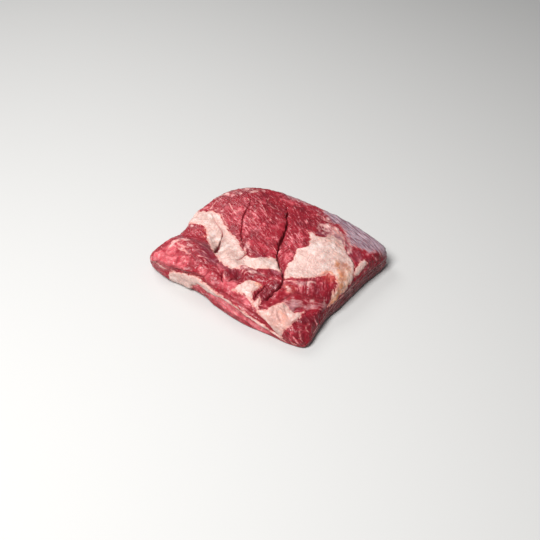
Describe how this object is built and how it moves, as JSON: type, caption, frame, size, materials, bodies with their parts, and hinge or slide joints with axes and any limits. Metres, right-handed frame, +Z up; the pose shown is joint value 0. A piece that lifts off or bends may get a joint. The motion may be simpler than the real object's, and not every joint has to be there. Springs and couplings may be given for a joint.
{
  "type": "raw boneless beef brisket",
  "caption": "Thick slab of raw boneless beef brisket with a domed muscle, a folded lobe, deep clefts and patches of fat, lying flat on its cut underside.",
  "frame": {"origin": "at table height under the middle of the slab's bounding box", "axes": "+Z up, +X along the slab's length from the folded lobe towards the fat mound, +Y towards the thick back edge"},
  "size_m": [0.2508, 0.2032, 0.0583],
  "materials": {
    "raw_beef": "moist raw muscle with pale fat"
  },
  "bodies": {
    "root": {"brisket": "raw_beef"}
  },
  "joints": []
}
